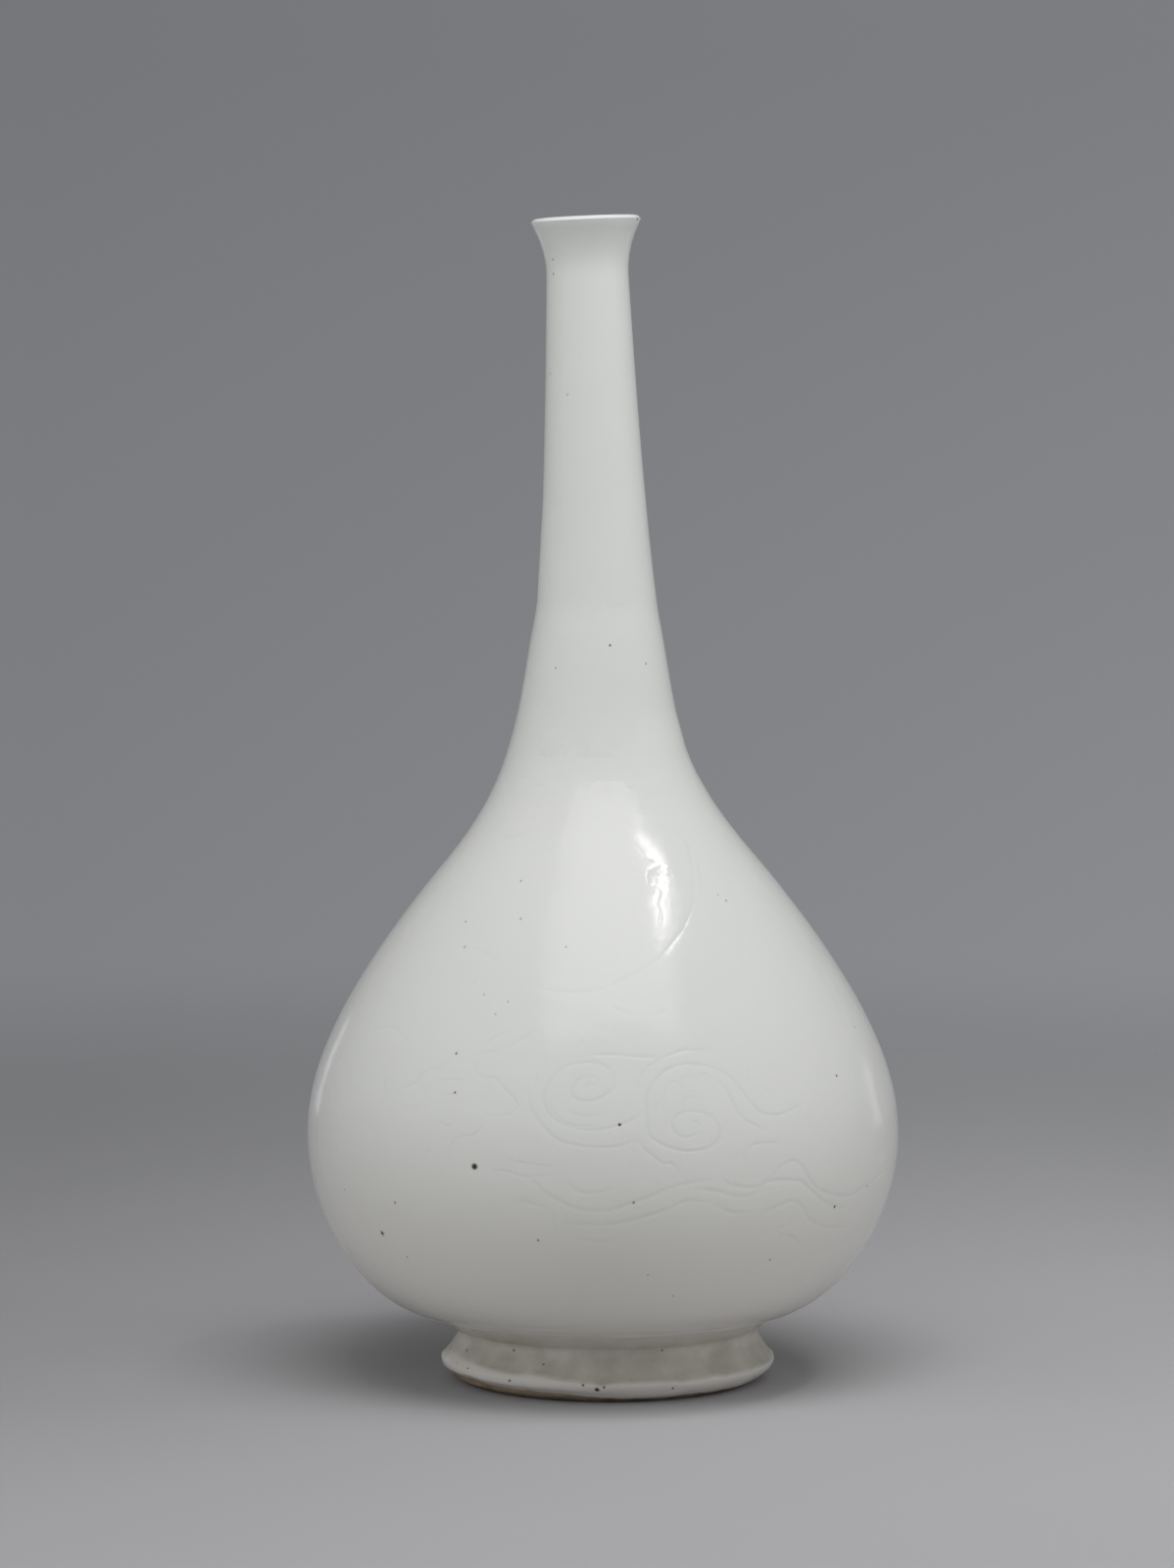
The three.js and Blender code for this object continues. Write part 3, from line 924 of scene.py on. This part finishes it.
# Painted light on the crown of the lip
GLAZE_LIP_PAINTED_LIGHT = (0.84, 0.84, 0.845)
GLAZE_POOLED = (0.56, 0.61, 0.58)
IRON_BROWN = (0.045, 0.030, 0.020)
RUST = (0.25, 0.16, 0.08)
TOASTED_CLAY = (0.20, 0.135, 0.085)
PALE_CLAY = (0.34, 0.28, 0.21)
DARK_CLAY = (0.07, 0.05, 0.037)
SLIP_WHITE = (0.62, 0.57, 0.49)
SLIP_GREY = (0.52, 0.47, 0.40)

# Patches: their size in millimetres, how detailed they are, the two ends of the noise that count,
# and the values that these ends get
GLAZE_CLOUDS = (70, 3, 0.35, 0.65)
GLAZE_MOTTLE = (6, 5, 0.35, 0.7, 0, 0.35)
THIN_STAINS = (9, 4, 0.3, 0.7, 0.45, 1)
GLAZE_GLOSS = (25, 3, 0.3, 0.7, 0.12, 0.2)
CLAY_PATCHES = (9, 5, 0.35, 0.65)
SLIP_PATCHES = (5, 4, 0.35, 0.65)
FLOOR_GRAIN = (400, 2, 0.3, 0.7, 0, 0.05)

# Heights in metres between which a colour comes in, and its share at each
# Painted shade down the body, from the neck to the belly
BELLY_PAINTED_SHADE_TINT = (0.34, 0.12, 0, 0.9)
# A warm tone with painted shade, from just above the girth down to the ridge and over the foot
WARM_AND_PAINTED_SHADE_TINT = (0.105, 0.026, 0, 0.9)
# Painted light on the lip's crown, coming in over about three millimetres
LIP_PAINTED_LIGHT_TINT = (0.4065, 0.4095, 0, 0.8)
# The bare clay is darker towards its resting edge
DARKER_AT_REST_TINT = (0.0025, 0, 0, 0.7)

# Pinholes: the spacing of the cells and the size of a pinhole in millimetres, and the share of the
# cells that hold one
GLAZE_PINHOLES = (13, 0.32, 0.3)
CLAY_PINHOLES = (3, 0.4, 0.4)

# Bumps: the size of the patches, how detailed they are, and the depth in millimetres
GLAZE_BUMPS = ((13, 3, 0.25), (3.2, 2, 0.025), (0.9, 2, 0.006))
CLAY_BUMPS = ((1.1, 5, 0.12), (0.3, 3, 0.04))
SLIP_BUMPS = ((0.8, 4, 0.08),)

# How strongly the glaze is tinted in the lines, the ends of a speck's stain between which its dark
# core comes in, and how rough and clear the finishes are
POOLED_SHARE = 0.45
SPECK_CORE = (0.35, 0.9)
THIN_ROUGHNESS = 0.25
CLAY_ROUGHNESS = 0.88
SLIP_ROUGHNESS = 0.9
GLAZE_IOR = 1.5


def glaze_finish(name, carved):
    """White glaze, with painted shade down the body and painted light on the lip's crown. The carved one
    also pools in the lines and shows the specks and the thin coat, whose tone carries painted shade under
    the belly.
    """
    material, tree, shader, place = start_finish(name)
    colour = tinted(tree, patches(tree, place, *GLAZE_CLOUDS), GLAZE_WHITE, GLAZE_COOL)
    colour = tinted(tree, patches(tree, place, *GLAZE_MOTTLE), colour, GLAZE_COOL)
    height = along_axis(tree, place, "Z")
    # Tints by height: painted shade down the body, a warm tone with painted shade low down, and painted
    # light on the lip's crown
    for heights, tint in ((BELLY_PAINTED_SHADE_TINT, GLAZE_BELLY_PAINTED_SHADE), (WARM_AND_PAINTED_SHADE_TINT, GLAZE_WARM_AND_PAINTED_SHADE), (LIP_PAINTED_LIGHT_TINT, GLAZE_LIP_PAINTED_LIGHT)):
        colour = tinted(tree, spread(tree, height, *heights), colour, tint)
    gloss = patches(tree, place, *GLAZE_GLOSS)
    if carved:
        pooled = calculated(tree, "MULTIPLY", attribute(tree, "incision"), POOLED_SHARE)
        colour = tinted(tree, pooled, colour, GLAZE_POOLED)
        # The thin coat on the foot and under the belly: its own stained tone, with painted shade
        thin = attribute(tree, "thin")
        stained_and_painted_shade = calculated(tree, "MULTIPLY", thin, patches(tree, place, *THIN_STAINS))
        colour = tinted(tree, stained_and_painted_shade, colour, GLAZE_THIN_AND_PAINTED_SHADE)
        iron = attribute(tree, "iron")
        speck = tinted(tree, spread(tree, iron, *SPECK_CORE), RUST, IRON_BROWN)
        colour = tinted(tree, iron, colour, speck)
        gloss = calculated(tree, "ADD", gloss, calculated(tree, "MULTIPLY", thin, THIN_ROUGHNESS))
    colour = tinted(tree, pinholes(tree, place, *GLAZE_PINHOLES), colour, IRON_BROWN)
    tree.links.new(colour, shader.inputs["Base Color"])
    tree.links.new(gloss, shader.inputs["Roughness"])
    shader.inputs["IOR"].default_value = GLAZE_IOR
    raised(tree, shader, place, GLAZE_BUMPS)
    return material


def clay_finish():
    material, tree, shader, place = start_finish("toasted_clay")
    colour = tinted(tree, patches(tree, place, *CLAY_PATCHES), TOASTED_CLAY, PALE_CLAY)
    # Darker towards the resting edge
    darker_at_rest = spread(tree, along_axis(tree, place, "Z"), *DARKER_AT_REST_TINT)
    colour = tinted(tree, darker_at_rest, colour, DARK_CLAY)
    colour = tinted(tree, pinholes(tree, place, *CLAY_PINHOLES), colour, DARK_CLAY)
    tree.links.new(colour, shader.inputs["Base Color"])
    shader.inputs["Roughness"].default_value = CLAY_ROUGHNESS
    raised(tree, shader, place, CLAY_BUMPS)
    return material


def slip_finish():
    material, tree, shader, place = start_finish("dry_slip")
    colour = tinted(tree, patches(tree, place, *SLIP_PATCHES), SLIP_WHITE, SLIP_GREY)
    tree.links.new(colour, shader.inputs["Base Color"])
    shader.inputs["Roughness"].default_value = SLIP_ROUGHNESS
    raised(tree, shader, place, SLIP_BUMPS)
    return material


# Studio, in metres: a wide grey floor that fades into a grey backdrop on every side, both with painted
# shade, lit by one large soft lamp above in front, with smaller ones beside it

FLOOR_GREY = (0.53, 0.53, 0.547)
FAR_GREY = (0.39, 0.392, 0.408)
SHADED_GREY = (0.13, 0.13, 0.137)
FLOOR_SIZE = 12

# Distances from the bottle between which the floor greys, as painted dimming of the light, and fades out.
# A painted shadow lies at the left: where it starts and ends from front to back, with its share at each,
# and from right to left.
FAR_DISTANCES = (0.25, 1.1)
FADE_DISTANCES = (0.36, 1.5)
SHADED_DEPTHS = (-0.35, -0.05, 0.12, 0.37)
SHADED_ACROSS = (0.2, -0.25)


def only_by_eye(tree):
    """One for what the camera or a mirroring surface sees, nought for the light that falls on things"""
    path = tree.nodes.new("ShaderNodeLightPath")
    return calculated(tree, "MAXIMUM", path.outputs["Is Camera Ray"], path.outputs["Is Glossy Ray"])


def lay_floor():
    bpy.ops.object.select_all(action="DESELECT")
    bpy.ops.mesh.primitive_plane_add(size=FLOOR_SIZE)
    floor = bpy.context.object
    floor.name = "studio_floor"
    material, tree, shader, place = start_finish("studio_grey")
    length = tree.nodes.new("ShaderNodeVectorMath")
    length.operation = "LENGTH"
    tree.links.new(place, length.inputs[0])
    distance = length.outputs["Value"]
    # The floor is painted greyer away from the bottle, as dimming light
    colour = tinted(tree, spread(tree, distance, *FAR_DISTANCES), FLOOR_GREY, FAR_GREY)
    colour = tinted(tree, patches(tree, place, *FLOOR_GRAIN), colour, FAR_GREY)
    # Painted shadow at the left, beside and behind the bottle
    deep = spread(tree, along_axis(tree, place, "Y"), *SHADED_DEPTHS)
    across = spread(tree, along_axis(tree, place, "X"), *SHADED_ACROSS)
    colour = tinted(tree, calculated(tree, "MULTIPLY", deep, across), colour, SHADED_GREY)
    tree.links.new(colour, shader.inputs["Base Color"])
    shader.inputs["Roughness"].default_value = 1
    clear = spread(tree, distance, *FADE_DISTANCES, kind="SMOOTHSTEP")
    clear = calculated(tree, "MULTIPLY", clear, only_by_eye(tree))
    tree.links.new(calculated(tree, "SUBTRACT", 1, clear), shader.inputs["Alpha"])
    floor.data.materials.append(material)


# Lamps: the place, where they point, width and height, power, and whether the glaze mirrors them
LAMPS = {
    "large_soft_lamp": ((0.08, -0.82, 1.82), (0, -0.05, 0.17), (1.75, 1), 6.5, True),
    "high_fill_lamp": ((0.15, -0.8, 1.8), (0, 0, 0.1), (1.2, 0.8), 11.5, False),
    "core_lamp": ((0.66, -0.3, 1.54), (0.03, -0.05, 0.17), (0.42, 0.07), 1.7, True),
    "left_low_lamp": ((-1.3, -0.3, 0.35), (0, 0, 0.1), (0.4, 0.4), 2.1, False),
    "right_low_lamp": ((1.3, -0.3, 0.35), (0, 0, 0.1), (0.4, 0.4), 1.5, False),
    "left_edge_lamp": ((-0.8, 1.2, 0.16), (0, 0, 0.1), (0.1, 0.3), 0.07, True),
    "right_edge_lamp": ((1.05, 0.9, 0.16), (0, 0, 0.1), (0.15, 0.3), 0.09, True),
}


def hang_lamp(name, place, target, size, power, mirrored):
    data = bpy.data.lights.new(name, "AREA")
    data.shape = "RECTANGLE"
    data.size, data.size_y = size
    data.energy = power
    lamp = bpy.data.objects.new(name, data)
    lamp.location = place
    lamp.rotation_euler = (Vector(target) - Vector(place)).to_track_quat("-Z", "Y").to_euler()
    lamp.visible_camera = False
    lamp.visible_glossy = mirrored
    bpy.context.scene.collection.objects.link(lamp)


# The white air is brightest low in front and at the sides, and dimmer behind and high up. Each row
# has two ends on a direction of length one, and the strengths at these ends.
WHITE_AIR = (1, 1, 1)
BRIGHT_SIDE = (0.03, -1, 0.1)
FRONT_LIGHT = (-0.55, -0.15, 0.25, 0.92)
HIGH_LIGHT = (0.1, 0.6, 1, 0.22)

# The backdrop that is seen beyond the floor has painted shade: it is darker high up and at the left
BACKDROP_HIGH = (0.203, 0.208, 0.219)
BACKDROP_LOW = (0.262, 0.268, 0.28)
BACKDROP_DIM = (0.12, 0.123, 0.13)
LOW_DIRECTIONS = (0.06, -0.14)
DIM_DIRECTIONS = (0.1, -0.1, 0, 0.28)


def light_studio():
    world = bpy.data.worlds.new("studio_air")
    world.use_nodes = True
    tree = world.node_tree
    direction = tree.nodes.new("ShaderNodeTexCoord").outputs["Generated"]
    height = along_axis(tree, direction, "Z")
    facing = tree.nodes.new("ShaderNodeVectorMath")
    facing.operation = "DOT_PRODUCT"
    facing.inputs[1].default_value = BRIGHT_SIDE
    tree.links.new(direction, facing.inputs[0])
    strength = spread(tree, facing.outputs["Value"], *FRONT_LIGHT)
    strength = calculated(tree, "MULTIPLY", strength, spread(tree, height, *HIGH_LIGHT))
    seen = only_by_eye(tree)
    strength = calculated(tree, "MULTIPLY", strength, calculated(tree, "SUBTRACT", 1, seen))
    strength = calculated(tree, "ADD", strength, seen)
    # Painted shade on the backdrop, darker high up and at the left
    backdrop = tinted(tree, spread(tree, height, *LOW_DIRECTIONS), BACKDROP_HIGH, BACKDROP_LOW)
    dim = spread(tree, along_axis(tree, direction, "X"), *DIM_DIRECTIONS)
    backdrop = tinted(tree, dim, backdrop, BACKDROP_DIM)
    air = tree.nodes["Background"]
    tree.links.new(strength, air.inputs["Strength"])
    tree.links.new(tinted(tree, seen, WHITE_AIR, backdrop), air.inputs["Color"])
    bpy.context.scene.world = world
    for name, settings in LAMPS.items():
        hang_lamp(name, *settings)
    bpy.context.scene.view_settings.view_transform = "Standard"


def main():
    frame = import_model()
    stand_camera()
    clay = clay_finish()
    slip = slip_finish()
    for name, node in frame["nodes"].items():
        node.data.materials.clear()
        node.data.materials.append(slip if "slip" in name else clay)
    pieces = {
        "outer_glaze": (make_outer_glaze, glaze_finish("carved_glaze", True), "white_glaze"),
        "inner_glaze": (make_inner_glaze, glaze_finish("poured_glaze", False), "white_glaze"),
        "foot_hollow_glaze": (make_base_glaze, glaze_finish("base_glaze", False), "white_glaze"),
        "foot_ring": (make_foot_ring, clay, "porcelain_clay"),
    }
    for node, (make, finish, slot) in pieces.items():
        piece = make()
        piece.data.materials.append(finish)
        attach(piece, "root")
        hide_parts(node)
    lay_floor()
    light_studio()


main()
